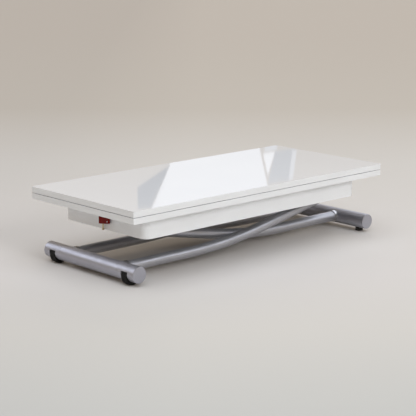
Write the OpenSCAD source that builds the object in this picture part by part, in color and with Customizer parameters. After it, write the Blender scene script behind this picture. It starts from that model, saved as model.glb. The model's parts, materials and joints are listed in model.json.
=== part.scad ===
/* [Table top] */
// Length of the table top, along X
top_length = 1200; // [1100:10:1300]
// Width of the closed table top, along Y
top_width = 550; // [540:2:600]
// Height of the closed table above the floor
closed_height = 263; // [260:1:275]
// Thickness of each of the two stacked leaves
leaf_thickness = 20.3; // [18:0.1:22]
// Gap between the stacked leaves, which holds the hinge plates
leaf_seam = 2; // [2:0.1:3]

/* [Apron] */
// Outer length of the apron box
apron_length = 1026; // [1010:2:1030]
// Outer width of the apron box
apron_width = 430; // [424:2:436]
// Height of the apron boards
apron_height = 75.9; // [74:0.1:80]
// Thickness of the apron boards
apron_board = 16; // [12:1:18]
// Outer radius of the apron's upright corners
apron_corner = 26; // [22:1:34]

/* [Floor bars] */
// Radius of the round floor bars
bar_radius = 28; // [26:0.5:28.5]
// Length of each floor bar, end caps included
bar_length = 480; // [470:2:500]
// Distance of each floor bar's axis from the middle of the base
bar_x = 560; // [552:1:560]
// Height of the floor bars' axes above the floor
bar_z = 40; // [38:1:42]

/* [Legs] */
// Radius of the leg tubes
leg_radius = 19; // [17:0.5:19]
// Wall of the leg tubes
leg_wall = 2; // [1.5:0.5:3]
// Height of the legs' straight lower stretch
leg_z = 42; // [41:0.5:44]
// Distance from the middle of the base to where the bend starts
bend_x = 250; // [200:5:280]
// Radius of the gentle bend in each leg
bend_radius = 1800; // [1700:10:2000]
// Slope of the legs' straight upper stretch, in degrees
leg_slope = 11.44; // [11:0.02:12]
// Distance of the upper pivots from the middle of the base
upper_pivot_x = 455; // [445:1:455]
// Distance of the outer legs' axes from the centre line
outer_leg_y = 132; // [131.5:0.5:132.5]
// Distance of the inner legs' axes from the centre line
inner_leg_y = 91; // [88:1:91]

/* [Wheels] */
// Radius of the wheels, tyre included
wheel_radius = 29; // [28:0.5:29]
// Width of the tyres
tyre_width = 28; // [24:1:30]
// Distance of the wheels from the centre line
wheel_y = 193; // [190:1:196]

/* [Hidden] */
$fn = 64;
fit = 0.05;                                   // radial clearance of a turning fit
base_x = 11;                                  // the base stands this far along X from the top's middle
// leaves
upper_leaf_z = closed_height - leaf_thickness;
lower_leaf_z = upper_leaf_z - leaf_seam - leaf_thickness;
hinge_z = upper_leaf_z - leaf_seam / 2;
knuckle_r = 3.2;
leaf_back = top_width / 2 - knuckle_r - 0.3;  // far edge of both leaves
hinge_y = leaf_back + 0.3;
leaf_front = -top_width / 2;
leaf_corner = 4;
hinge_x = [-420, 0, 420];
hinge_pin_r = 1.4;
hinge_length = 72;
plate_t = 0.9;
plate_w = 24;
screw_x = [-26, 0, 26];
screw_r = 1.8;
screw_length = 11;
// sliding tracks
track_x = 330;
track_w = 24;
track_h = 10;
track_wall = 1.6;
track_slot = 10;
track_y = 255;
block_y = [-174, -45];
block_length = 44;
// apron
apron_z = lower_leaf_z - 0.5 - apron_height;
apron_top = apron_z + apron_height;
inner_y = apron_width / 2 - apron_board;
inner_x = apron_length / 2 - apron_board;
// legs and pivots
centre_z = leg_z + bend_radius - sqrt(pow(bend_radius, 2) - pow(bend_x, 2));
bend_end_x = bend_radius * sin(leg_slope) - bend_x;
bend_end_z = leg_z + bend_radius * (1 - cos(leg_slope));
upper_pivot_z = bend_end_z + (upper_pivot_x - bend_end_x) * tan(leg_slope);
leg_overrun = 14;
upper_length = (upper_pivot_x - bend_end_x) / cos(leg_slope) + leg_overrun;
pivot_r = 8;
bush_r = 12;
bush_half = 16;
centre_pin_r = 6;
centre_bush_r = 9;
// floor bars
tube_wall = 3;
hub_y = 155;
sleeve_y = hub_y + 0.3;
cap_t = 3;
sleeve_end = bar_length / 2 - cap_t;
axle_r = 12;
web_t = 14;
foot_y = 200;
foot_r = 14;
foot_top = 15;
foot_screw_r = 2.5;
foot_recess_r = 5;
// wheels
wheel_axle_r = 4;
wheel_rim_r = 21;
slot_top = 48;
slot_w = tyre_width + 4;
// frame inside the apron
rail_h = 24;
member_z = upper_pivot_z + rail_h / 2;
member_h = 30;
member_w = 16;
member_wall = 2;
member_end_x = inner_x - member_w;
member_end_y = apron_width / 2 - apron_corner - 1;
cylinder_x = [-185, 100];
top_rail_h = 22;
top_rail_w = 24;
top_rail_z = 195;
rail_from = 2 - inner_x;
rail_to = -205;
rail_y = 128;
rail_w = 24;
shoe_gap = 0.4;
shoe_length = 56;
shaft_end = 148;                              // where the carriage's shaft ends, inside the shoes
yoke_x = -upper_pivot_x + 14;
yoke_y = 56;
yoke_t = 6;
bracket_y = 152;
// gas spring
gas_z = 175;
gas_r = 12;
gas_bore_r = 10.4;
gas_from = -200;
gas_to = 130;
gas_end_t = 12;
gas_rod_r = 5;
plunger_r = 4;
plunger_end = gas_to + 34;
valve_length = 26;
// release lever and its cable
lever_x = -apron_length / 2 - 9;
lever_y = -7;
lever_top = 188.5;
lever_pin_r = 2.5;
knuckle = [173, 181];                         // lower and upper ends of the bracket's knuckle
knuckle_out_r = 4.4;
bracket_z = [165.5, 190];
bracket_t = 2.5;
bracket_screw_z = [169.5, 184.5];
bracket_screw_r = 1.6;
wire_y = -35;
wire_z = 177;
nipple_r = 2.2;
cable_r = 2.5;
clip_y = -190;
clip_z = 180;
clip_x = [-360, -120, 130];

// A tube along Y, centred at x, z, from y0 to y1
module tube_y(x, z, y0, y1, r, bore) {
    translate([x, y1, z]) rotate([90, 0, 0]) difference() {
        cylinder(r = r, h = y1 - y0);
        translate([0, 0, -1]) cylinder(r = bore, h = y1 - y0 + 2);
    }
}
// A round bar along Y, centred at x, z, from y0 to y1
module bar_y(x, z, y0, y1, r) {
    translate([x, y1, z]) rotate([90, 0, 0]) cylinder(r = r, h = y1 - y0);
}
// A round bar along X, centred at y, z, from x0 to x1
module bar_x_axis(y, z, x0, x1, r) {
    translate([x0, y, z]) rotate([0, 90, 0]) cylinder(r = r, h = x1 - x0);
}
// A box between two corners
module span(from, to) {
    translate(from) cube(to - from);
}
// Pieces of the base and of the frame it carries
module at_base() {
    translate([base_x, 0, 0]) children();
}
// The same piece on the front and back sides
module both_sides() {
    children();
    mirror([0, 1, 0]) children();
}

// ---- leaves ----
module leaf_plate(z) {
    translate([0, (leaf_front + leaf_back) / 2, z]) linear_extrude(leaf_thickness) union() {
        size = [top_length, leaf_back - leaf_front];
        square([size[0] - 2 * leaf_corner, size[1]], center = true);
        square([size[0], size[1] - 2 * leaf_corner], center = true);
        for (sx = [-1, 1], sy = [-1, 1])
            translate([sx * (size[0] / 2 - leaf_corner), sy * (size[1] / 2 - leaf_corner)])
                circle(r = leaf_corner);
    }
}
// Room in a leaf's edge for the hinge knuckles
module knuckle_pockets() {
    for (x = hinge_x) translate([x - hinge_length / 2 - 0.5, hinge_y, hinge_z]) rotate([0, 90, 0])
        cylinder(r = knuckle_r + 0.4, h = hinge_length + 1);
}
// The hinge screws' places; dir is 1 for screws that go up and -1 for screws that go down
module hinge_screw_set(dir, r) {
    for (x = hinge_x, dx = screw_x)
        translate([x + dx, hinge_y - knuckle_r - plate_w / 2 + 2, hinge_z + dir * (leaf_seam / 2 - plate_t)])
            mirror([0, 0, dir > 0 ? 0 : 1]) cylinder(r = r, h = screw_length + plate_t);
}
module upper_leaf() {
    color("whitesmoke") difference() {
        leaf_plate(upper_leaf_z);
        knuckle_pockets();
        hinge_screw_set(1, screw_r);
    }
}
module lower_leaf() {
    color("whitesmoke") difference() {
        leaf_plate(lower_leaf_z);
        knuckle_pockets();
        hinge_screw_set(-1, screw_r);
        for (x = [base_x - track_x, base_x + track_x])
            span([x - track_w / 2, -track_y, lower_leaf_z - 1],
                 [x + track_w / 2, track_y, lower_leaf_z + track_h]);
    }
}
// Aluminium C tracks let into the underside of the lower leaf
module leaf_tracks() {
    color("silver") for (x = [base_x - track_x, base_x + track_x]) difference() {
        span([x - track_w / 2, -track_y, lower_leaf_z], [x + track_w / 2, track_y, lower_leaf_z + track_h]);
        span([x - track_w / 2 + track_wall, -track_y - 1, lower_leaf_z + track_wall],
             [x + track_w / 2 - track_wall, track_y + 1, lower_leaf_z + track_h - track_wall]);
        span([x - track_slot / 2, -track_y - 1, lower_leaf_z - 1],
             [x + track_slot / 2, track_y + 1, lower_leaf_z + track_h / 2]);
    }
}
// One hinge half: a thin plate with its knuckles; spans lists the knuckles' ends along X
module hinge_half(x, z, spans, bore) {
    difference() {
        union() {
            span([x - hinge_length / 2, hinge_y - knuckle_r - plate_w, z],
                 [x + hinge_length / 2, hinge_y - knuckle_r - 0.6, z + plate_t]);
            for (s = spans) {
                span([x + s[0], hinge_y - knuckle_r - 1, z], [x + s[1], hinge_y, z + plate_t]);
                bar_x_axis(hinge_y, hinge_z, x + s[0], x + s[1], knuckle_r);
            }
        }
        bar_x_axis(hinge_y, hinge_z, x - hinge_length / 2 - 1, x + hinge_length / 2 + 1, bore);
    }
}
module hinge_plates_lower() {
    color("silver") difference() {
        for (x = hinge_x) hinge_half(x, hinge_z - leaf_seam / 2, [[-36, -12.2], [12.2, 36]], hinge_pin_r);
        hinge_screw_set(-1, screw_r);
    }
}
module hinge_plates_upper() {
    color("silver") difference() {
        for (x = hinge_x)
            hinge_half(x, hinge_z + leaf_seam / 2 - plate_t, [[-11.8, 11.8]], hinge_pin_r + fit);
        hinge_screw_set(1, screw_r);
    }
}
module hinge_pins() {
    color("silver") for (x = hinge_x)
        bar_x_axis(hinge_y, hinge_z, x - hinge_length / 2, x + hinge_length / 2, hinge_pin_r);
}
module hinge_screws_lower() { color("silver") hinge_screw_set(-1, screw_r); }
module hinge_screws_upper() { color("silver") hinge_screw_set(1, screw_r); }

// ---- apron ----
module apron_long_board(s) {
    half = apron_length / 2 - apron_corner;
    y = s * (apron_width - apron_board) / 2;
    color("gainsboro") at_base()
        span([-half, y - apron_board / 2, apron_z], [half, y + apron_board / 2, apron_top]);
}
module apron_front() { apron_long_board(-1); }
module apron_back() { apron_long_board(1); }
module apron_short_board(s) {
    half = apron_width / 2 - apron_corner;
    x = s * (apron_length - apron_board) / 2;
    color("gainsboro") at_base() difference() {
        span([x - apron_board / 2, -half, apron_z], [x + apron_board / 2, half, apron_top]);
        if (s < 0) {
            bar_x_axis(wire_y, wire_z, -apron_length / 2 - 1, -apron_length / 2 + apron_board + 1, cable_r);
            bracket_screw_set(bracket_screw_r);
        }
    }
}
module apron_left() { apron_short_board(-1); }
module apron_right() { apron_short_board(1); }
// Four quarter-round corner pieces
module apron_corners() {
    color("gainsboro") at_base() for (sx = [-1, 1], sy = [-1, 1])
        translate([sx * (apron_length / 2 - apron_corner), sy * (apron_width / 2 - apron_corner), apron_z])
            intersection() {
                difference() {
                    cylinder(r = apron_corner, h = apron_height, $fn = 96);
                    translate([0, 0, -1])
                        cylinder(r = apron_corner - apron_board, h = apron_height + 2, $fn = 96);
                }
                translate([sx > 0 ? 0 : -apron_corner - 1, sy > 0 ? 0 : -apron_corner - 1, -1])
                    cube([apron_corner + 1, apron_corner + 1, apron_height + 2]);
            }
}

// ---- frame inside the apron ----
module cross_member(x, y) {
    difference() {
        span([x, -y, member_z], [x + member_w, y, member_z + member_h]);
        span([x + member_wall, -y - 1, member_z + member_wall],
             [x + member_w - member_wall, y + 1, member_z + member_h - member_wall]);
    }
}
// The two cross members that the gas cylinder and the cable pass through
module cylinder_members() {
    color("dimgray") at_base() for (x = cylinder_x) difference() {
        cross_member(x, inner_y);
        bar_x_axis(0, gas_z, x - 1, x + member_w + 1, gas_r);
        bar_x_axis(clip_y, clip_z, x - 1, x + member_w + 1, cable_r + 0.5);
    }
}
module cross_member_left() {
    color("dimgray") at_base() difference() {
        cross_member(-inner_x, member_end_y);
        bar_x_axis(wire_y, wire_z, -inner_x - 1, -member_end_x + 1, cable_r + 0.5);
    }
}
module cross_member_right() { color("dimgray") at_base() cross_member(member_end_x, member_end_y); }
module top_rails() {
    color("dimgray") at_base() for (x = [-track_x, track_x]) difference() {
        span([x - top_rail_w / 2, -inner_y, top_rail_z],
             [x + top_rail_w / 2, inner_y, top_rail_z + top_rail_h]);
        span([x - top_rail_w / 2 + member_wall, -inner_y - 1, top_rail_z + member_wall],
             [x + top_rail_w / 2 - member_wall, inner_y + 1, top_rail_z + top_rail_h - member_wall]);
    }
}
// T-shaped blocks that stand on the top rails and run in the leaf's tracks
module slide_blocks() {
    h = block_length / 2;
    foot_w = 18;
    neck_w = 9;
    head_w = 19;
    low = top_rail_z + top_rail_h;
    head = lower_leaf_z + track_wall + 0.4;
    color("black") at_base() for (x = [-track_x, track_x], y = block_y) translate([x, y, 0]) {
        span([-foot_w / 2, -h, low], [foot_w / 2, h, lower_leaf_z - 0.6]);
        span([-neck_w / 2, -h, low], [neck_w / 2, h, head]);
        span([-head_w / 2, -h, head], [head_w / 2, h, lower_leaf_z + track_h - track_wall - 0.4]);
    }
}
// Channels that guide the slide shoes; their open sides face the centre line
module slide_rails() {
    z = upper_pivot_z - rail_h / 2;
    color("silver") at_base() both_sides() difference() {
        span([rail_from, rail_y, z], [rail_to, rail_y + rail_w, z + rail_h]);
        span([rail_from - 1, rail_y - 1, z + member_wall],
             [rail_to + 1, rail_y + rail_w - member_wall, z + rail_h - member_wall]);
    }
}
// Plates that carry the outer legs' upper pivot
module pivot_brackets() {
    color("dimgray") at_base() both_sides() difference() {
        span([upper_pivot_x - 20, bracket_y, upper_pivot_z - 12],
             [member_end_x, bracket_y + 6, member_z + member_h]);
        bar_y(upper_pivot_x, upper_pivot_z, bracket_y - 1, bracket_y + 7, pivot_r);
    }
}
module fixed_pivot_shaft() {
    color("silver") at_base() bar_y(upper_pivot_x, upper_pivot_z, -bracket_y - 8, bracket_y + 8, pivot_r);
}
module gas_cylinder() {
    color("black") at_base() difference() {
        bar_x_axis(0, gas_z, gas_from, gas_to, gas_r);
        bar_x_axis(0, gas_z, gas_from + gas_end_t, gas_to - gas_end_t, gas_bore_r);
        bar_x_axis(0, gas_z, gas_from - 1, gas_from + gas_end_t + 1, gas_rod_r + fit);
    }
}
module valve_block() {
    color("dimgray") at_base() difference() {
        span([gas_to, -12, gas_z - 12], [gas_to + valve_length, 12, gas_z + 12]);
        bar_x_axis(0, gas_z, gas_to + 6, gas_to + valve_length + 1, plunger_r + fit);
    }
}
// The release cable's sheath, swept along its route inside the apron with eight sides
cable_route = [
    [-inner_x, wire_y, wire_z], [-472, wire_y, wire_z], [-469, -37, 178], [-467, -42, 182], [-466, -50, 189],
    [-466, -62, 195], [-466, -78, 198], [-466, -150, 198], [-464, -170, 195], [-458, -184, 188],
    [-446, clip_y, 182], [-430, clip_y, clip_z], [140, clip_y, clip_z], [160, -188, clip_z],
    [174, -178, clip_z], [182, -160, clip_z], [184, -120, clip_z], [184, -40, 178], [182, -20, 177],
    [176, -6, gas_z], [170, 0, gas_z], [plunger_end, 0, gas_z]
];
sides = 8;
function unit(v) = v / norm(v);
function along(i) = unit(cable_route[min(i + 1, len(cable_route) - 1)] - cable_route[max(i - 1, 0)]);
function ring(i) = let (t = along(i), side = unit(cross(t, [0, 0, 1])), up = cross(side, t))
    [for (k = [0 : sides - 1]) let (a = 360 * k / sides)
        cable_route[i] + cable_r * (cos(a) * side + sin(a) * up)];
module cable_sheath() {
    last = len(cable_route) - 1;
    walls = [for (i = [0 : last - 1], k = [0 : sides - 1])
        [i * sides + k, i * sides + (k + 1) % sides, (i + 1) * sides + (k + 1) % sides, (i + 1) * sides + k]];
    ends = [[for (k = [sides - 1 : -1 : 0]) k], [for (k = [0 : sides - 1]) last * sides + k]];
    color("black") at_base()
        polyhedron(points = [for (i = [0 : last], p = ring(i)) p], faces = concat(walls, ends));
}
module cable_clips() {
    color("black") at_base() for (x = clip_x) difference() {
        span([x - 5, -inner_y, clip_z - 5], [x + 5, clip_y + 6, clip_z + 5]);
        bar_x_axis(clip_y, clip_z, x - 6, x + 6, cable_r);
    }
}

// ---- release lever ----
module bracket_screw_set(r) {
    for (z = bracket_screw_z)
        bar_x_axis(lever_y, z, -apron_length / 2 - bracket_t, -apron_length / 2 + 11, r);
}
// A plate on the apron's left end, with one knuckle between the lever's two
module lever_bracket() {
    outer = -apron_length / 2;
    height = knuckle[1] - knuckle[0];
    color("silver") at_base() difference() {
        union() {
            span([outer - bracket_t, lever_y - 8, bracket_z[0]], [outer, lever_y + 8, bracket_z[1]]);
            span([lever_x, lever_y - 3, knuckle[0]], [outer - 1, lever_y + 3, knuckle[1]]);
            translate([lever_x, lever_y, knuckle[0]]) cylinder(r = knuckle_out_r, h = height);
        }
        translate([lever_x, lever_y, knuckle[0] - 1]) cylinder(r = lever_pin_r, h = height + 2);
        bracket_screw_set(bracket_screw_r);
    }
}
// Screws with low heads, each with a crossed recess
module bracket_screws() {
    head = -apron_length / 2 - bracket_t;
    color("silver") at_base() difference() {
        union() {
            bracket_screw_set(bracket_screw_r);
            for (z = bracket_screw_z) bar_x_axis(lever_y, z, head - 1.4, head, 2.8);
        }
        for (z = bracket_screw_z) {
            span([head - 2, lever_y - 1.6, z - 0.35], [head - 0.6, lever_y + 1.6, z + 0.35]);
            span([head - 2, lever_y - 0.35, z - 1.6], [head - 0.6, lever_y + 0.35, z + 1.6]);
        }
    }
}
// The lever's pin, with a turned end that shows under the lever
module lever_pin() {
    color("goldenrod") at_base() translate([lever_x, lever_y, 0]) rotate_extrude()
        polygon([[0, 144], [3.4, 144], [4.2, 144.9], [4.2, 147.8], [3.4, 149], [lever_pin_r, 150],
                 [lever_pin_r, lever_top], [0, lever_top]]);
}
// The lever's outline from above; x is measured from its pin
lever_plan = [[-2.5, -42], [1.5, -42], [3, -40], [3, 10], [1.5, 12], [-2.5, 12], [-4.5, 10.5], [-6, 0],
              [-6, -16], [-4.5, -40]];
// Its outline from the left end: y, z
lever_side = [[12, 187], [10.5, lever_top], [-40.5, lever_top], [-42, 187], [-42, 172.8], [-41.3, 171.1],
              [-39.6, 170.2], [9.2, 163.7], [11.2, 164.4], [12, 166.3]];
// Finger grooves on its outer face: x from the pin, y
grooves = [[-6.4, -1], [-6, 3], [-5.5, 7]];
module release_lever() {
    low = 160;
    height = lever_top - low + 1;
    color("firebrick") at_base() difference() {
        intersection() {
            translate([lever_x, 0, low]) linear_extrude(height) polygon(lever_plan);
            translate([lever_x - 10, 0, 0]) rotate([90, 0, 90]) linear_extrude(20) polygon(lever_side);
        }
        translate([lever_x, lever_y, low]) cylinder(r = lever_pin_r + fit, h = height);
        translate([lever_x, lever_y, knuckle[0] - 0.4])
            cylinder(r = knuckle_out_r + 0.3, h = knuckle[1] - knuckle[0] + 0.8);
        span([lever_x, lever_y - 4.5, knuckle[0] - 0.4], [lever_x + 5, lever_y + 4.5, knuckle[1] + 0.4]);
        bar_x_axis(wire_y, wire_z, lever_x - 10, lever_x + 10, nipple_r);
        for (g = grooves) translate([lever_x + g[0], g[1], low]) cylinder(r = 1.3, h = height);
    }
}
module cable_nipple() {
    color("silver") at_base() bar_x_axis(wire_y, wire_z, lever_x - 5.2, lever_x + 3, nipple_r);
}
module valve_plunger() {
    color("silver") at_base() bar_x_axis(0, gas_z, gas_to + 12, plunger_end - 0.4, plunger_r);
}

// ---- carriage ----
module carriage_shaft() {
    color("silver") at_base() bar_y(-upper_pivot_x, upper_pivot_z, -shaft_end, shaft_end, pivot_r);
}
module slide_shoes() {
    z = rail_h / 2 - member_wall - shoe_gap;
    color("white") at_base() both_sides() difference() {
        span([-upper_pivot_x - shoe_length / 2, rail_y + 1, upper_pivot_z - z],
             [-upper_pivot_x + shoe_length / 2, rail_y + rail_w - member_wall - shoe_gap, upper_pivot_z + z]);
        bar_y(-upper_pivot_x, upper_pivot_z, rail_y - 2, shaft_end, pivot_r);
    }
}
module carriage_yoke() {
    top = gas_z + 10;
    color("dimgray") at_base() union() {
        both_sides() difference() {
            span([-upper_pivot_x - 12, yoke_y, upper_pivot_z - 12], [yoke_x, yoke_y + yoke_t, top]);
            bar_y(-upper_pivot_x, upper_pivot_z, yoke_y - 1, yoke_y + yoke_t + 1, pivot_r);
        }
        span([yoke_x - yoke_t, -yoke_y, gas_z - 12], [yoke_x, yoke_y, top]);
    }
}
module gas_rod() {
    piston_x = gas_from + gas_end_t + 4;
    color("silver") at_base() union() {
        bar_x_axis(0, gas_z, yoke_x, piston_x, gas_rod_r);
        bar_x_axis(0, gas_z, piston_x, piston_x + 14, gas_bore_r - 0.3);
    }
}

// ---- right floor bar ----
module floor_bar_axle() { color("silver") bar_y(0, bar_z, -sleeve_y - web_t, sleeve_y + web_t, axle_r); }
module right_axle() { at_base() translate([bar_x, 0, 0]) floor_bar_axle(); }
// The outer stretch of a floor bar, with a web that grips the axle
module end_sleeve() {
    difference() {
        union() {
            tube_y(0, bar_z, sleeve_y, sleeve_end, bar_radius, bar_radius - tube_wall);
            tube_y(0, bar_z, sleeve_y, sleeve_y + web_t, bar_radius - tube_wall / 2, axle_r);
        }
        translate([0, foot_y, 0]) cylinder(r = foot_screw_r, h = bar_z);
    }
}
module right_sleeve_back() { color("lightslategray") at_base() translate([bar_x, 0, 0]) end_sleeve(); }
module right_sleeve_front() { mirror([0, 1, 0]) right_sleeve_back(); }
// A shallow domed plug in the end of a floor bar
module end_cap() {
    translate([0, sleeve_end, bar_z]) rotate([-90, 0, 0]) rotate_extrude()
        polygon([[0, -8], [bar_radius - tube_wall, -8], [bar_radius - tube_wall, 0], [bar_radius, 0],
                 [bar_radius, 1.2], [bar_radius - 1, 2.1], [bar_radius - 6, 2.7], [bar_radius - 14, cap_t],
                 [0, cap_t]]);
}
module right_caps() { color("lightslategray") at_base() translate([bar_x, 0, 0]) both_sides() end_cap(); }
module feet() {
    color("black") at_base() translate([bar_x, 0, 0]) both_sides() difference() {
        translate([0, foot_y, 0]) rotate_extrude()
            polygon([[0, 0], [foot_r - 1.5, 0], [foot_r, 2], [foot_r, foot_top], [0, foot_top]]);
        bar_y(0, bar_z, sleeve_y, sleeve_end, bar_radius);
        translate([0, foot_y, -1]) cylinder(r = foot_screw_r, h = bar_z);
        translate([0, foot_y, -1]) cylinder(r = foot_recess_r, h = 4);
    }
}
module foot_screws() {
    color("silver") at_base() translate([bar_x, 0, 0]) both_sides() translate([0, foot_y, 0]) union() {
        translate([0, 0, 1]) cylinder(r = foot_recess_r, h = 2);
        translate([0, 0, 2]) cylinder(r = foot_screw_r, h = 18);
    }
}

// ---- hubs and legs ----
// The middle stretch of a floor bar, which turns with its legs on two bushed webs
module hub() {
    tube_y(0, bar_z, -hub_y, hub_y, bar_radius, bar_radius - tube_wall);
    both_sides() tube_y(0, bar_z, hub_y - web_t, hub_y, bar_radius - tube_wall / 2, axle_r + fit);
}
// The leg's centre line as a solid of radius r, rising towards +X
module leg_path(r, overrun) {
    union() {
        bar_x_axis(0, leg_z, -bar_x, -bend_x, r);
        translate([-bend_x, 0, leg_z + bend_radius]) rotate([90, 0, 0]) rotate([0, 0, -90])
            rotate_extrude(angle = leg_slope, $fn = 720) translate([bend_radius, 0]) circle(r = r, $fn = 64);
        translate([bend_end_x, 0, bend_end_z]) rotate([0, 90 - leg_slope, 0])
            cylinder(r = r, h = upper_length + overrun);
    }
}
// A bent leg tube, with a hole across it at the centre pivot
module leg(y, hole_r, hole_from, hole_to) {
    difference() {
        translate([0, y, 0]) leg_path(leg_radius, 0);
        translate([0, y, 0]) leg_path(leg_radius - leg_wall, 1);
        bar_y(-bar_x, bar_z, y - bar_radius, y + bar_radius, bar_radius);
        bar_y(upper_pivot_x, upper_pivot_z, y - bar_radius, y + bar_radius, bush_r);
        bar_y(0, centre_z, hole_from, hole_to, hole_r);
    }
}
// The outer leg's bush enters from its inner side only; the inner leg's pin goes right through
module outer_leg() { leg(outer_leg_y, centre_bush_r, outer_leg_y - leg_radius - 2, outer_leg_y); }
module inner_leg() {
    leg(inner_leg_y, centre_pin_r, inner_leg_y - leg_radius - 2, inner_leg_y + leg_radius + 2);
}
module outer_leg_back() { color("silver") at_base() outer_leg(); }
module outer_leg_front() { color("silver") at_base() mirror([0, 1, 0]) outer_leg(); }
module inner_leg_back() { color("silver") at_base() mirror([1, 0, 0]) inner_leg(); }
module inner_leg_front() { color("silver") at_base() mirror([1, 0, 0]) mirror([0, 1, 0]) inner_leg(); }
// Weld rings at the floor bar and pivot bushes at the upper end
module leg_fittings(y) {
    difference() {
        bar_x_axis(y, leg_z, -bar_x + bar_radius - 6, -bar_x + bar_radius + 7, leg_radius + 2.5);
        bar_x_axis(y, leg_z, -bar_x, -bar_x + 2 * bar_radius, leg_radius);
        bar_y(-bar_x, bar_z, y - bar_radius, y + bar_radius, bar_radius);
    }
    tube_y(upper_pivot_x, upper_pivot_z, y - bush_half, y + bush_half, bush_r, pivot_r + fit);
}
module outer_fittings() {
    color("silver") at_base() both_sides() {
        leg_fittings(outer_leg_y);
        from = outer_leg_y - leg_radius + 0.5;
        tube_y(0, centre_z, from, outer_leg_y + 10, centre_bush_r, centre_pin_r + fit);
    }
}
module inner_fittings() { color("silver") at_base() mirror([1, 0, 0]) both_sides() leg_fittings(inner_leg_y); }
module pivot_pins() {
    color("silver") at_base() both_sides()
        bar_y(0, centre_z, inner_leg_y - leg_radius - 1, outer_leg_y + 9, centre_pin_r);
}
module pivot_washers() {
    y = inner_leg_y + leg_radius;
    end = outer_leg_y - leg_radius - shoe_gap;
    color("white") at_base() both_sides() tube_y(0, centre_z, y, end, 11, centre_pin_r);
}
module right_hub() { color("lightslategray") at_base() translate([bar_x, 0, 0]) hub(); }
module left_hub() { color("lightslategray") at_base() translate([-bar_x, 0, 0]) hub(); }

// ---- left floor bar ----
// The outer stretch of the wheeled bar: a slot for the wheel between two cheeks that hold its axle
module wheel_sleeve() {
    difference() {
        union() {
            tube_y(0, bar_z, sleeve_y, sleeve_end, bar_radius, bar_radius - tube_wall);
            tube_y(0, bar_z, sleeve_y, sleeve_y + web_t, bar_radius - tube_wall / 2, axle_r);
            for (y = [wheel_y - slot_w / 2 - 4, wheel_y + slot_w / 2])
                bar_y(0, bar_z, y, y + 4, bar_radius - tube_wall / 2);
        }
        span([-40, wheel_y - slot_w / 2, 0], [40, wheel_y + slot_w / 2, slot_top]);
        bar_y(0, wheel_radius, wheel_y - 30, wheel_y + 30, wheel_axle_r);
    }
}
module left_axle() { at_base() translate([-bar_x, 0, 0]) floor_bar_axle(); }
module left_sleeve_back() { color("lightslategray") at_base() translate([-bar_x, 0, 0]) wheel_sleeve(); }
module left_sleeve_front() { mirror([0, 1, 0]) left_sleeve_back(); }
module left_caps() { color("lightslategray") at_base() translate([-bar_x, 0, 0]) both_sides() end_cap(); }
module wheel_axles() {
    color("silver") at_base() both_sides()
        bar_y(-bar_x, wheel_radius, wheel_y - slot_w / 2 - 4, wheel_y + slot_w / 2 + 4, wheel_axle_r);
}
module wheel_hub(y) {
    h = tyre_width / 2;
    bore = wheel_axle_r + fit;
    rim = wheel_rim_r;
    color("dimgray") at_base() translate([-bar_x, y, wheel_radius]) rotate([90, 0, 0]) rotate_extrude($fn = 96)
        polygon([[bore, 1 - h], [9, 1 - h], [10, 5 - h], [rim - 3, 5 - h], [rim - 2, 2 - h], [rim, 2 - h],
                 [rim, h - 2], [rim - 2, h - 2], [rim - 3, h - 5], [10, h - 5], [9, h - 1], [bore, h - 1]]);
}
module wheel_hub_back() { wheel_hub(wheel_y); }
module wheel_hub_front() { wheel_hub(-wheel_y); }
// A rubber tyre with a rounded tread and three grooves around it
module tyre(y) {
    h = tyre_width / 2;
    r = wheel_radius;
    color("black") at_base() translate([-bar_x, y, r]) rotate([90, 0, 0])
        rotate_extrude($fn = 96) difference() {
        polygon([[wheel_rim_r, -h], [r - 2.5, -h], [r - 0.7, 0.9 - h], [r, 2.8 - h],
                 [r, h - 2.8], [r - 0.7, h - 0.9], [r - 2.5, h], [wheel_rim_r, h]]);
        for (v = [-7, 0, 7]) translate([r, v]) square([3, 1.6], center = true);
    }
}
module tyre_back() { tyre(wheel_y); }
module tyre_front() { tyre(-wheel_y); }

upper_leaf();
lower_leaf();
leaf_tracks();
hinge_plates_lower();
hinge_plates_upper();
hinge_pins();
hinge_screws_lower();
hinge_screws_upper();
apron_front();
apron_back();
apron_left();
apron_right();
apron_corners();
cross_member_left();
cross_member_right();
cylinder_members();
top_rails();
slide_blocks();
slide_rails();
pivot_brackets();
fixed_pivot_shaft();
gas_cylinder();
valve_block();
cable_sheath();
cable_clips();
lever_bracket();
lever_pin();
bracket_screws();
release_lever();
cable_nipple();
valve_plunger();
carriage_shaft();
slide_shoes();
carriage_yoke();
gas_rod();
right_axle();
right_sleeve_front();
right_sleeve_back();
right_caps();
feet();
foot_screws();
right_hub();
inner_leg_front();
inner_leg_back();
inner_fittings();
pivot_pins();
pivot_washers();
left_hub();
outer_leg_front();
outer_leg_back();
outer_fittings();
left_axle();
left_sleeve_front();
left_sleeve_back();
left_caps();
wheel_axles();
wheel_hub_front();
wheel_hub_back();
tyre_front();
tyre_back();
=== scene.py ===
import json
import math

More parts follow.
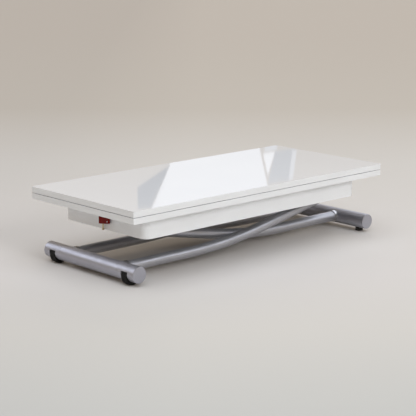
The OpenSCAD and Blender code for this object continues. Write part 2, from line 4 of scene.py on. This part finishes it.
import bmesh
import bpy
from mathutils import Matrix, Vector


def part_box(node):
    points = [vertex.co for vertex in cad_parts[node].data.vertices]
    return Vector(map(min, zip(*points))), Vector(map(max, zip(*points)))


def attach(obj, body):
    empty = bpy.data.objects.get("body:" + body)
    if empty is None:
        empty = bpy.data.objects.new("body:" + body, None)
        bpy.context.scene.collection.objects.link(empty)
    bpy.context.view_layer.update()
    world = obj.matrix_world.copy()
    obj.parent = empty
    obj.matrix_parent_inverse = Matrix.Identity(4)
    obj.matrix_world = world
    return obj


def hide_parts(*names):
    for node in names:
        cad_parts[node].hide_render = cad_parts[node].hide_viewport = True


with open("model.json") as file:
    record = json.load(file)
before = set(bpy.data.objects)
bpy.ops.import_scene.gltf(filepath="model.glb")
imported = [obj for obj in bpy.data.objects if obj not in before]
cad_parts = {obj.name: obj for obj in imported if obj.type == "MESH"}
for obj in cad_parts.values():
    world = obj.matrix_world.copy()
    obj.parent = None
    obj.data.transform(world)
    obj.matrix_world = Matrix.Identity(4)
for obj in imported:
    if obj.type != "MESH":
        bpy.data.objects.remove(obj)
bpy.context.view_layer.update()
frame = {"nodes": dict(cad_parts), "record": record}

MM = 0.001
SAME_POINT = 0.002 * MM
NODES = frame["nodes"]


def tone(r, g, b):
    """A colour given as 0 to 255 display values, turned linear for the shader."""
    def linear(v):
        v /= 255
        return v / 12.92 if v <= 0.04045 else ((v + 0.055) / 1.055) ** 2.4
    return (linear(r), linear(g), linear(b), 1)


def middle(node):
    """The centre of a CAD node's box."""
    low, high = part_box(node)
    return (low + high) / 2


# ---- camera ----
CAMERA_PLACE = (-3.2744, -3.4942, 1.207)
CAMERA_PITCH = 12.5625
CAMERA_YAW = 42.916
CAMERA_LENS = 117.949


def make_camera():
    data = bpy.data.cameras.new("camera")
    data.lens = CAMERA_LENS
    data.sensor_width = 36
    data.clip_end = 200
    camera = bpy.data.objects.new("camera", data)
    camera.location = CAMERA_PLACE
    camera.rotation_euler = (math.radians(90 - CAMERA_PITCH), 0, -math.radians(CAMERA_YAW))
    bpy.context.scene.collection.objects.link(camera)
    bpy.context.scene.camera = camera


# ---- materials ----
class Shader:
    """A principled material whose colour, roughness and bump come from procedural nodes."""

    def __init__(self, name, roughness, metallic=0.0, coat=0.0, coat_roughness=0.05, specular=0.5):
        self.material = bpy.data.materials.new(name)
        self.material.use_nodes = True
        self.tree = self.material.node_tree
        self.shader = self.tree.nodes["Principled BSDF"]
        self.set("Roughness", roughness)
        self.set("Metallic", metallic)
        self.set("Coat Weight", coat)
        self.set("Coat Roughness", coat_roughness)
        self.set("Specular IOR Level", specular)
        self.coords = self.add("ShaderNodeTexCoord")
        self.bump_normal = None

    def add(self, kind, **settings):
        node = self.tree.nodes.new(kind)
        for key, value in settings.items():
            setattr(node, key, value)
        return node

    def link(self, a, b):
        self.tree.links.new(a, b)

    def set(self, socket, value):
        self.shader.inputs[socket].default_value = value

    def noise(self, scale, detail=3.0, stretch=(1, 1, 1)):
        """Noise in the object's own metres; stretch scales it along each axis."""
        mapping = self.add("ShaderNodeMapping")
        mapping.inputs["Scale"].default_value = stretch
        self.link(self.coords.outputs["Object"], mapping.inputs["Vector"])
        node = self.add("ShaderNodeTexNoise")
        node.inputs["Scale"].default_value = scale
        node.inputs["Detail"].default_value = detail
        self.link(mapping.outputs["Vector"], node.inputs["Vector"])
        return node.outputs["Fac"]

    def ramp(self, fac, stops):
        """A colour ramp from (position, colour) stops."""
        node = self.add("ShaderNodeValToRGB")
        elements = node.color_ramp.elements
        while len(elements) < len(stops):
            elements.new(0.5)
        for element, (place, colour) in zip(elements, stops):
            element.position = place
            element.color = colour
        self.link(fac, node.inputs["Fac"])
        return node.outputs["Color"]

    def mix(self, fac, a, b):
        """Mixes two colours, each a socket or a fixed colour, by a socket."""
        node = self.add("ShaderNodeMix", data_type="RGBA")
        self.link(fac, node.inputs["Factor"])
        for value, name in ((a, "A"), (b, "B")):
            socket = [i for i in node.inputs if i.name == name and i.type == "RGBA"][0]
            if isinstance(value, tuple):
                socket.default_value = value
            else:
                self.link(value, socket)
        return [o for o in node.outputs if o.type == "RGBA"][0]

    def spread(self, fac, low, high, from_low=0.3, from_high=0.7):
        """Maps a noise value to a range."""
        node = self.add("ShaderNodeMapRange")
        node.inputs["From Min"].default_value = from_low
        node.inputs["From Max"].default_value = from_high
        node.inputs["To Min"].default_value = low
        node.inputs["To Max"].default_value = high
        self.link(fac, node.inputs["Value"])
        return node.outputs["Result"]

    def colour(self, socket):
        self.link(socket, self.shader.inputs["Base Color"])

    def rough(self, socket):
        self.link(socket, self.shader.inputs["Roughness"])

    def bump(self, fac, depth):
        """Adds a bump of the given depth in metres on top of those before it."""
        node = self.add("ShaderNodeBump")
        node.inputs["Distance"].default_value = depth
        self.link(fac, node.inputs["Height"])
        if self.bump_normal:
            self.link(self.bump_normal, node.inputs["Normal"])
        self.bump_normal = node.outputs["Normal"]
        self.link(self.bump_normal, self.shader.inputs["Normal"])


def lacquer():
    """Gloss white lacquer: bright cool faces and slightly greyer edges."""
    m = Shader("white_lacquer", 0.08, coat=0.6, coat_roughness=0.02)
    normal = m.add("ShaderNodeSeparateXYZ")
    m.link(m.coords.outputs["Normal"], normal.inputs["Vector"])
    face = m.add("ShaderNodeMath", operation="ABSOLUTE")
    m.link(normal.outputs["Z"], face.inputs[0])
    cloud = m.noise(2.5, 4)
    face_white = m.ramp(cloud, [(0.3, tone(245, 247, 252)), (0.7, tone(248, 250, 254))])
    streaks = m.noise(9, 5, (1, 1, 6))
    edge_white = m.ramp(streaks, [(0.3, tone(224, 225, 226)), (0.7, tone(229, 230, 231))])
    m.colour(m.mix(face.outputs[0], edge_white, face_white))
    m.rough(m.spread(m.noise(5, 5), 0.03, 0.06))
    m.bump(m.noise(220, 2), 0.00002)
    return m.material


def apron_paint():
    """Satin off-white paint with a faint sprayed texture."""
    m = Shader("apron_paint", 0.4, coat=0.1, coat_roughness=0.2)
    cloud = m.noise(4, 5, (1, 1, 3))
    m.colour(m.ramp(cloud, [(0.25, tone(233, 235, 237)), (0.75, tone(239, 241, 243))]))
    m.rough(m.spread(m.noise(14, 4), 0.34, 0.46))
    m.bump(m.noise(700, 3), 0.00005)
    m.bump(m.noise(45, 2), 0.00006)
    return m.material


def metal_paint(name, dark, light, roughness):
    """Silver-grey powder coat: fine metallic flakes over a slightly pebbled skin."""
    m = Shader(name, roughness, metallic=0.85, coat=0.05, coat_roughness=0.25)
    flakes = m.add("ShaderNodeTexVoronoi")
    flakes.inputs["Scale"].default_value = 2600
    m.link(m.coords.outputs["Object"], flakes.inputs["Vector"])
    flake = m.add("ShaderNodeSeparateColor")
    m.link(flakes.outputs["Color"], flake.inputs["Color"])
    base = m.ramp(m.noise(7, 5), [(0.3, dark), (0.7, light)])
    m.colour(m.mix(m.spread(flake.outputs["Red"], 0.0, 0.22, 0.55, 1.0), base, tone(225, 225, 232)))
    m.rough(m.spread(m.noise(30, 4), roughness - 0.05, roughness + 0.06))
    m.bump(m.noise(900, 3), 0.00004)
    return m.material


def bare_metal(name, dark, light, roughness, streak=(1, 1, 1)):
    """Turned or plated metal with fine streaks."""
    m = Shader(name, roughness, metallic=1.0)
    m.colour(m.ramp(m.noise(60, 6, streak), [(0.3, dark), (0.7, light)]))
    m.rough(m.spread(m.noise(160, 5, streak), roughness - 0.06, roughness + 0.1))
    m.bump(m.noise(900, 2, streak), 0.00002)
    return m.material


def moulded(name, dark, light, roughness, grain=0.00005, specular=0.5):
    """Moulded plastic or rubber with a fine grain."""
    m = Shader(name, roughness, specular=specular)
    m.colour(m.ramp(m.noise(40, 5), [(0.3, dark), (0.7, light)]))
    m.rough(m.spread(m.noise(90, 4), roughness - 0.05, roughness + 0.08))
    m.bump(m.noise(1400, 3), grain)
    return m.material


def floor_material():
    """Seamless matt studio paper with painted light falloff, darker and warmer with distance, and a painted
    shade a little darker towards the left.
    """
    m = Shader("studio_floor", 0.9, specular=0.2)
    yaw = math.radians(CAMERA_YAW)

    def along(direction, near, far):
        """0 to 1 between two distances in metres from the table's middle, along a direction on the floor."""
        dot = m.add("ShaderNodeVectorMath", operation="DOT_PRODUCT")
        m.link(m.coords.outputs["Object"], dot.inputs[0])
        dot.inputs[1].default_value = direction
        return m.spread(dot.outputs["Value"], 0, 1, near, far)

    # Painted light falloff: the ramp below makes the paper brightest near the table, darker towards the
    # camera, and darker and warmer further back.
    depth = along((math.sin(yaw), math.cos(yaw), 0), -2, 8)
    paper_with_painted_falloff = m.ramp(depth, [
        (0.03, tone(195, 194, 190)), (0.1, tone(206, 202, 196)), (0.16, tone(209, 204, 200)),
        (0.36, tone(201, 196, 190)), (0.54, tone(188, 180, 170)), (1.0, tone(187, 178, 168)),
    ])
    # Painted shade: the floor's colour is made up to 8% darker towards the left of the table.
    side = along((math.cos(yaw), -math.sin(yaw), 0), -0.9, -0.1)
    shade = m.ramp(side, [(0.0, (0.92, 0.92, 0.925, 1)), (1.0, (1, 1, 1, 1))])
    shaded = m.add("ShaderNodeMix", data_type="RGBA", blend_type="MULTIPLY")
    colours = [i for i in shaded.inputs if i.type == "RGBA"]
    shaded.inputs["Factor"].default_value = 1.0
    m.link(paper_with_painted_falloff, colours[0])
    m.link(shade, colours[1])
    m.colour([o for o in shaded.outputs if o.type == "RGBA"][0])
    m.bump(m.noise(300, 2), 0.00005)
    return m.material


def make_materials():
    return {
        "white_lacquer": lacquer(),
        "apron_paint": apron_paint(),
        "bar_paint": metal_paint("bar_paint", tone(171, 172, 182), tone(178, 179, 189), 0.4),
        "leg_paint": metal_paint("leg_paint", tone(178, 179, 185), tone(186, 187, 193), 0.42),
        "bright_steel": bare_metal("bright_steel", tone(190, 190, 192), tone(215, 215, 217), 0.25, (1, 6, 1)),
        "dark_steel": moulded("dark_steel", tone(34, 34, 36), tone(46, 46, 48), 0.45),
        "zinc_steel": bare_metal("zinc_steel", tone(178, 181, 186), tone(205, 207, 210), 0.35),
        "track_metal": bare_metal("track_metal", tone(196, 197, 199), tone(214, 215, 217), 0.32, (4, 1, 4)),
        "nylon": moulded("nylon", tone(212, 209, 198), tone(224, 221, 211), 0.5),
        "black_plastic": moulded("black_plastic", tone(30, 30, 31), tone(40, 40, 41), 0.5),
        "tyre_rubber": moulded("tyre_rubber", tone(17, 17, 17), tone(26, 26, 26), 0.7, 0.00012, 0.35),
        "foot_rubber": moulded("foot_rubber", tone(36, 35, 34), tone(48, 47, 45), 0.7, 0.00012),
        "red_plastic": moulded("red_plastic", tone(108, 11, 4), tone(126, 15, 6), 0.45, 0.00003, 0.14),
        "brass": bare_metal("brass", tone(196, 180, 146), tone(218, 204, 172), 0.28),
    }


def dress_nodes(materials):
    """Gives every CAD node its slot's material, and those listed a rounded edge of so many millimetres."""
    bevels = {
        "upper_leaf": 0.9, "lower_leaf": 0.9, "apron_front": 0.8, "apron_back": 0.8, "apron_left": 0.8,
        "apron_right": 0.8, "apron_corners": 0.8, "feet": 1.2, "release_lever": 0.8, "lever_bracket": 0.4,
        "carriage_yoke": 0.6, "valve_block": 0.6, "slide_shoes": 0.6, "pivot_brackets": 0.6,
        "cross_member_left": 0.8, "cross_member_right": 0.8, "top_rails": 0.8, "slide_blocks": 0.5,
        "right_sleeve_front": 0.35, "right_sleeve_back": 0.35, "left_sleeve_front": 0.35,
        "left_sleeve_back": 0.35, "right_hub": 0.35, "left_hub": 0.35, "hinge_plates_lower": 0.15,
        "hinge_plates_upper": 0.15, "slide_rails": 0.3, "leaf_tracks": 0.3,
    }
    for part in frame["record"]["subparts"]:
        node = NODES[part["node"]]
        node.data.materials.clear()
        node.data.materials.append(materials[part["material_slot"]])
        if part["node"] in bevels:
            weld = node.modifiers.new("weld", "WELD")
            weld.merge_threshold = SAME_POINT
            bevel = node.modifiers.new("bevel", "BEVEL")
            bevel.width = bevels[part["node"]] * MM
            bevel.segments = 3
            bevel.limit_method = "ANGLE"
            bevel.angle_limit = math.radians(40)
            even = node.modifiers.new("even_shading", "WEIGHTED_NORMAL")
            even.weight = 60


# ---- detailed pieces ----
def add_piece(name, bm, material, body, replaced=(), smooth_angle=35):
    """Turns a bmesh into a shown piece that rides on a body and stands for CAD nodes."""
    bmesh.ops.recalc_face_normals(bm, faces=bm.faces)
    mesh = bpy.data.meshes.new(name)
    bm.to_mesh(mesh)
    bm.free()
    mesh.materials.append(material)
    mesh.shade_smooth()
    piece = bpy.data.objects.new(name, mesh)
    bpy.context.scene.collection.objects.link(piece)
    mesh.set_sharp_from_angle(angle=math.radians(smooth_angle))
    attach(piece, body)
    if replaced:
        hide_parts(*replaced)


def grid_surface(bm, rows, close_rows, close_columns):
    """Quads over rows of vertices; either direction may close on itself."""
    count, width = len(rows), len(rows[0])
    for i in range(count if close_rows else count - 1):
        for j in range(width if close_columns else width - 1):
            a, b = rows[i], rows[(i + 1) % count]
            k = (j + 1) % width
            bm.faces.new((a[j], a[k], b[k], b[j]))


def tread_height(turn, across, pitches, depth):
    """How far the tread lies below its full radius: staggered blocks on both halves, a groove between."""
    groove_half = 1 * MM
    block_share = 0.64
    if abs(across) < groove_half:
        return depth
    phase = 0.0 if across < 0 else 0.5
    place = (turn * pitches + phase) % 1
    return depth if place > block_share else 0.0


def make_tyre(side, materials):
    """A small solid tyre with staggered ribs across the tread, turning about Y."""
    node = "tyre_" + side
    low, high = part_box(node)
    centre = (low + high) / 2
    radius = (high.z - low.z) / 2
    half = (high.y - low.y) / 2
    rim = radius - 8 * MM
    shoulder = 2.2 * MM
    depth = 1.5 * MM
    pitches = 30
    steps = pitches * 12
    across = [-half, -half, -half, -half + 0.7 * MM, -half + shoulder, -half + 5 * MM, -half + 9 * MM]
    across += [-1.3 * MM, -0.9 * MM, 0.9 * MM, 1.3 * MM]
    across += [half - 9 * MM, half - 5 * MM, half - shoulder, half - 0.7 * MM, half, half, half]
    radii = [rim, rim + 3 * MM, radius - shoulder, radius - 0.6 * MM] + [radius] * 10
    radii += [radius - 0.6 * MM, radius - shoulder, rim + 3 * MM, rim]
    bm = bmesh.new()
    rows = []
    for i in range(steps):
        turn = i / steps
        angle = 2 * math.pi * turn
        row = []
        for y, r in zip(across, radii):
            if r > radius - shoulder:
                r -= tread_height(turn, y, pitches, depth)
            row.append(bm.verts.new(centre + Vector((r * math.cos(angle), y, r * math.sin(angle)))))
        rows.append(row)
    grid_surface(bm, rows, True, True)
    body = "wheel_unit_" + side
    add_piece("ribbed_tyre_" + side, bm, materials["tyre_rubber"], body, [node], 30)


def make_weld_bead(leg, hub, toward, body, materials):
    """A rippled bead where a leg tube meets its floor bar: it follows the two cylinders' crossing line."""
    bar = middle(hub)
    low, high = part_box(hub)
    bar_radius = (high.z - low.z) / 2
    low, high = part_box(leg)
    leg_radius = (high.y - low.y) / 2
    leg_y, leg_z = (low.y + high.y) / 2, low.z + leg_radius
    ring_radius = leg_radius + 2.4 * MM
    bead = 1.5 * MM
    ripple, ripple_steps = 0.14, 8
    steps, sides = 144, 8
    points = []
    for i in range(steps):
        turn = 2 * math.pi * i / steps
        y = leg_y + ring_radius * math.sin(turn)
        z = leg_z + ring_radius * math.cos(turn)
        x = bar.x + toward * math.sqrt(bar_radius ** 2 - (z - bar.z) ** 2)
        points.append(Vector((x, y, z)))
    bm = bmesh.new()
    rows = []
    for i, point in enumerate(points):
        along = (points[(i + 1) % steps] - points[i - 1]).normalized()
        out = Vector((0, point.y - leg_y, point.z - leg_z)).normalized()
        up = along.cross(out).normalized()
        size = bead * (1 + ripple * math.sin(2 * math.pi * i / ripple_steps))
        row = []
        for k in range(sides):
            angle = 2 * math.pi * k / sides
            row.append(bm.verts.new(point + size * (math.cos(angle) * out + math.sin(angle) * up)))
        rows.append(row)
    grid_surface(bm, rows, True, True)
    add_piece("weld_bead_" + leg, bm, materials["leg_paint"], body)


def make_pin(materials):
    """The lever's brass pin: a plain rod with a knurled thumb end under the lever."""
    low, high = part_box("lever_pin")
    centre = (low + high) / 2
    head = (high.x - low.x) / 2
    rod = 0.595 * head
    steps = 144
    profile = [(0, low.z), (head * 0.8, low.z), (head, low.z + 0.9 * MM), (head, low.z + 3.8 * MM),
               (head * 0.8, low.z + 5 * MM), (rod, low.z + 6 * MM), (rod, high.z - 0.6 * MM),
               (rod * 0.8, high.z), (0, high.z)]
    bm = bmesh.new()
    rows = []
    for r, z in profile:
        row = []
        for i in range(steps):
            angle = 2 * math.pi * i / steps
            knurl = 0.35 * MM if r >= head and i % 6 < 2 else 0.0
            row.append(bm.verts.new((centre.x + (r - knurl) * math.cos(angle),
                                     centre.y + (r - knurl) * math.sin(angle), z)))
        rows.append(row)
    grid_surface(bm, rows, False, True)
    bmesh.ops.remove_doubles(bm, verts=bm.verts, dist=SAME_POINT)
    add_piece("knurled_pin", bm, materials["brass"], "lift_frame", ["lever_pin"], 30)


def smooth_route(points, spacing):
    """Points along a smooth curve through the given ones, denser where it bends."""
    ends = [2 * points[0] - points[1]] + points + [2 * points[-1] - points[-2]]
    route = []
    for a, b, c, d in zip(ends, ends[1:], ends[2:], ends[3:]):
        gap_before, gap, gap_after = (math.sqrt((q - p).length) for p, q in ((a, b), (b, c), (c, d)))
        leave = (b - a) / gap_before - (c - a) / (gap_before + gap) + (c - b) / gap
        arrive = (c - b) / gap - (d - b) / (gap + gap_after) + (d - c) / gap_after
        leave, arrive = leave * gap, arrive * gap
        count = max(2, min(12, round((c - b).length / spacing)))
        for i in range(count):
            t = i / count
            route.append((2 * t ** 3 - 3 * t ** 2 + 1) * b + (t ** 3 - 2 * t ** 2 + t) * leave
                         + (3 * t ** 2 - 2 * t ** 3) * c + (t ** 3 - t ** 2) * arrive)
    return route + [points[-1]]


def make_release_cable(materials):
    """The round sheath of the release cable, from behind the lever round to the gas spring's valve.

    Its route is in millimetres: through the left cross member, over a slide rail, along the front board
    through its clips, then back round to the valve. Its bends are rounder than the CAD sheath's, and lie
    up to 5 mm from them.
    """
    start_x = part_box("cable_sheath")[0].x
    end_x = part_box("valve_plunger")[1].x + 0.4 * MM
    radius = 2.5 * MM
    bend = [(-465, -35, 177), (-461, -35, 177), (-457.2, -35.6, 177.4), (-453.9, -37.4, 178.6),
            (-451.8, -40.1, 180.4), (-451, -43.3, 182.5), (-451, -52, 188.3), (-451, -64, 194.8),
            (-451, -78, 198), (-451, -150, 198), (-450, -168, 195.5), (-446, -183, 188.5),
            (-435, -190, 182), (-419, -190, 180), (-400, -190, 180), (146, -190, 180), (156, -189.5, 180),
            (171, -187, 180), (185, -178, 180), (193, -160, 180), (195, -120, 180), (195, -40, 178),
            (194, -20, 176), (192, -12, 175.4), (188.5, -3.5, 175), (180, 0, 175)]
    inner = [Vector(place) * MM for place in bend]
    points = [Vector((start_x, inner[0].y, inner[0].z))] + inner + [Vector((end_x, inner[-1].y, inner[-1].z))]
    route = smooth_route(points, 2.5 * MM)
    sides = 20
    bm = bmesh.new()
    rows = []
    side = Vector((0, -1, 0))
    for i, point in enumerate(route):
        along = (route[min(i + 1, len(route) - 1)] - route[max(i - 1, 0)]).normalized()
        side = (side - along * side.dot(along)).normalized()
        up = along.cross(side)
        row = []
        for k in range(sides):
            angle = 2 * math.pi * k / sides
            row.append(bm.verts.new(point + radius * (math.cos(angle) * side + math.sin(angle) * up)))
        rows.append(row)
    grid_surface(bm, rows, False, True)
    bm.faces.new(rows[0])
    bm.faces.new(rows[-1])
    add_piece("release_cable", bm, materials["black_plastic"], "lift_frame",
              ["cable_sheath"], 40)


def make_details(materials):
    for side in ("front", "back"):
        make_tyre(side, materials)
    for side in ("front", "back"):
        make_weld_bead("outer_leg_" + side, "left_hub", 1, "outer_frame", materials)
        make_weld_bead("inner_leg_" + side, "right_hub", -1, "inner_frame", materials)
    make_pin(materials)
    make_release_cable(materials)


# ---- studio ----
CARD_DISTANCE = 3.0


def broad_light(name, heading, energy, spread, colour):
    """Even light along a heading, left out of reflections; spread is its angular size in degrees."""
    data = bpy.data.lights.new(name, "SUN")
    data.energy = energy
    data.angle = math.radians(spread)
    data.color = colour
    light = bpy.data.objects.new(name, data)
    light.rotation_euler = Vector(heading).to_track_quat("-Z", "Y").to_euler()
    light.visible_glossy = False
    bpy.context.scene.collection.objects.link(light)


def panel(name, corners):
    """A flat panel in the scene with the given corners."""
    bm = bmesh.new()
    bm.faces.new([bm.verts.new(corner) for corner in corners])
    mesh = bpy.data.meshes.new(name)
    bm.to_mesh(mesh)
    bm.free()
    card = bpy.data.objects.new(name, mesh)
    bpy.context.scene.collection.objects.link(card)
    return card


def glow_only(card, strength, colour):
    """Makes a card glow in reflections alone: the camera, soft light and shadows pass it by."""
    material = bpy.data.materials.new(card.name)
    material.use_nodes = True
    shader = material.node_tree.nodes["Principled BSDF"]
    shader.inputs["Base Color"].default_value = (0, 0, 0, 1)
    shader.inputs["Emission Color"].default_value = colour
    shader.inputs["Emission Strength"].default_value = strength
    card.data.materials.append(material)
    card.visible_camera = False
    card.visible_diffuse = False
    card.visible_shadow = False


def glow_card(name, corners, strength, colour, distance=CARD_DISTANCE):
    """A lit card behind the table, only seen as a reflection; corners are (sideways, height) in metres."""
    side = Vector((math.cos(math.radians(CAMERA_YAW)), -math.sin(math.radians(CAMERA_YAW)), 0))
    back = Vector((math.sin(math.radians(CAMERA_YAW)), math.cos(math.radians(CAMERA_YAW)), 0))
    card = panel(name, [distance * back + across * side + Vector((0, 0, z)) for across, z in corners])
    glow_only(card, strength, colour)


def soft_box(name, place, target, size, strength, colour):
    """A lit panel that faces a target and only shows as a reflection."""
    w, h = size[0] / 2, size[1] / 2
    box = panel(name, [(-w, -h, 0), (w, -h, 0), (w, h, 0), (-w, h, 0)])
    box.location = place
    box.rotation_euler = (Vector(target) - Vector(place)).to_track_quat("-Z", "Y").to_euler()
    glow_only(box, strength, colour)


def make_studio():
    bpy.ops.mesh.primitive_plane_add(size=120)
    floor = bpy.context.object
    floor.name = "studio_floor"
    floor.data.materials.append(floor_material())
    world = bpy.data.worlds.new("studio")
    world.use_nodes = True
    background = world.node_tree.nodes["Background"]
    background.inputs["Color"].default_value = tone(246, 226, 198)
    background.inputs["Strength"].default_value = 0.4
    bpy.context.scene.world = world
    bpy.context.scene.view_settings.view_transform = "Standard"
    broad_light("ceiling_light", (0.13, 0.21, -0.9), 2.03, 82, (0.836, 0.949, 1.094))
    broad_light("back_light", (-0.7, -0.6, -0.4), 0.48, 30, (1.0, 0.93, 0.82))
    broad_light("front_light", (0.08, 1.0, -0.46), 1.14, 18, (0.93, 0.965, 1.0))
    # What the glossy top mirrors: a bright window, a dark facet on its left and paler ones on its right
    white = tone(250, 249, 249)
    in_front = CARD_DISTANCE - 0.01
    window = [(-0.24, 0.6), (-0.24, 0.8), (-0.47, 1.35), (0.42, 1.35), (0.26, 0.6)]
    glow_card("window_card", window, 0.76, white)
    glow_card("left_facet", [(-0.43, 0.93), (-0.24, 0.8), (-0.35, 1.05), (-0.43, 1.06)], 0.05, white)
    glow_card("right_facet", [(0.37, 0.72), (0.49, 0.7), (0.45, 0.89), (0.33, 0.91)], 0.24, white)
    glow_card("bright_facet", [(0.3, 0.73), (0.37, 0.72), (0.33, 0.86)], 0.8, white)
    glow_card("upper_facet", [(0.31, 0.6), (0.39, 0.6), (0.38, 0.71), (0.31, 0.72)], 0.5, white)
    glow_card("light_strip", [(0.47, 0.71), (0.495, 0.71), (0.475, 0.88), (0.45, 0.89)], 0.5, white, in_front)
    soft_box("left_box", (-2.0, 2.6, 2.1), (-0.55, 0, 0.05), (3.0, 1.9), 1.8, tone(244, 247, 255))
    soft_box("right_box", (3.0, -2.9, 2.15), (0, -0.13, 0.05), (6.8, 1.7), 1.85, tone(242, 246, 255))
    soft_box("end_box", (3.8, 0.8, 2.9), (0.45, -0.09, 0.06), (4.8, 3.0), 1.5, tone(242, 246, 255))


make_camera()
make_studio()
MATERIALS = make_materials()
dress_nodes(MATERIALS)
make_details(MATERIALS)
